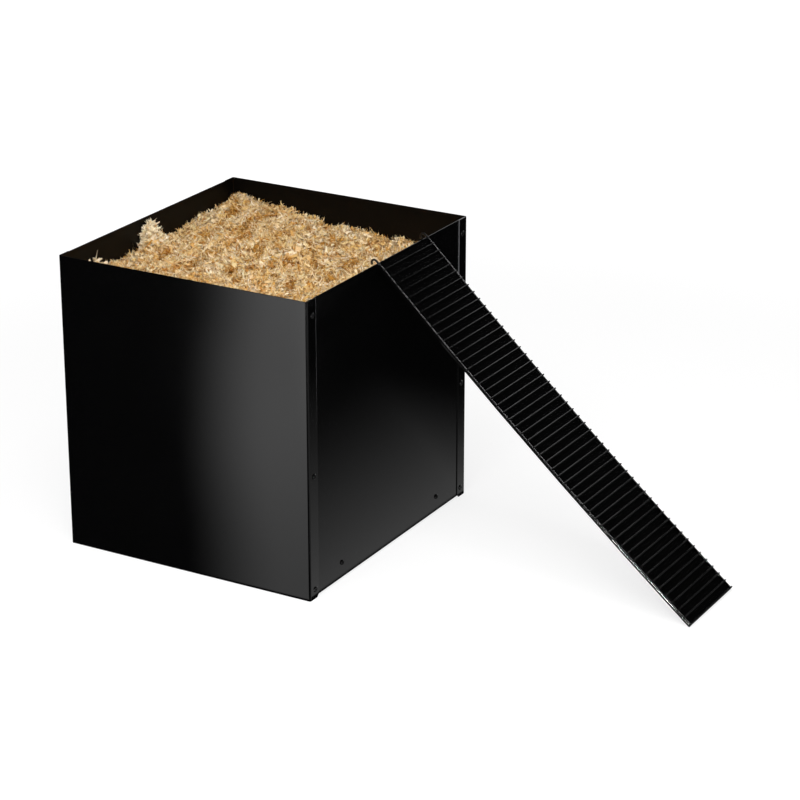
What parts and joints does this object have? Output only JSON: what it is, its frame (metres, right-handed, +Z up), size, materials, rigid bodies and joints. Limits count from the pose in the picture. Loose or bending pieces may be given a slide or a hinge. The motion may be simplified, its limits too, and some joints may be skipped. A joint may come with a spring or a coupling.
{
  "type": "nesting box",
  "caption": "Open-topped cube box of folded black sheet steel, filled with wood shavings, with a wire-runged ramp hooked over one wall as a way in for small animals.",
  "frame": {"origin": "centre of the whole footprint, box and ramp together, on the floor", "axes": "+X from the box out along the ramp, +Y from the front panel to the rear panel, +Z up"},
  "size_m": [0.718, 0.356, 0.3554],
  "materials": {
    "black_sheet": "satin",
    "black_wire": "satin",
    "black_rivet": "satin",
    "black_screw": "satin",
    "zinc_nut": "satin",
    "wood_shavings": "matte"
  },
  "bodies": {
    "box": {"front_panel": "black_sheet", "rear_panel": "black_sheet", "left_side_panel": "black_sheet", "right_side_panel": "black_sheet", "floor_tray": "black_sheet", "bedding": "wood_shavings", "corner_rivets_front_left": "black_rivet", "corner_rivets_front_right": "black_rivet", "corner_rivets_rear_left": "black_rivet", "corner_rivets_rear_right": "black_rivet", "floor_screw_front_left": "black_screw", "floor_screw_front_right": "black_screw", "floor_screw_rear_left": "black_screw", "floor_screw_rear_right": "black_screw", "floor_nut_front_left": "zinc_nut", "floor_nut_front_right": "zinc_nut", "floor_nut_rear_left": "zinc_nut", "floor_nut_rear_right": "zinc_nut"},
    "ramp": {"ramp_plate": "black_sheet", "ramp_rail_front": "black_wire", "ramp_rail_rear": "black_wire", "ramp_rungs": "black_wire"}
  },
  "joints": [
    {"name": "ramp_hinge", "type": "hinge", "parent": "box", "child": "ramp", "pos_m": [-0.03441, 0.0275, 0.35], "axis": [0, -1, 0], "range_deg": [0, 43]}
  ]
}
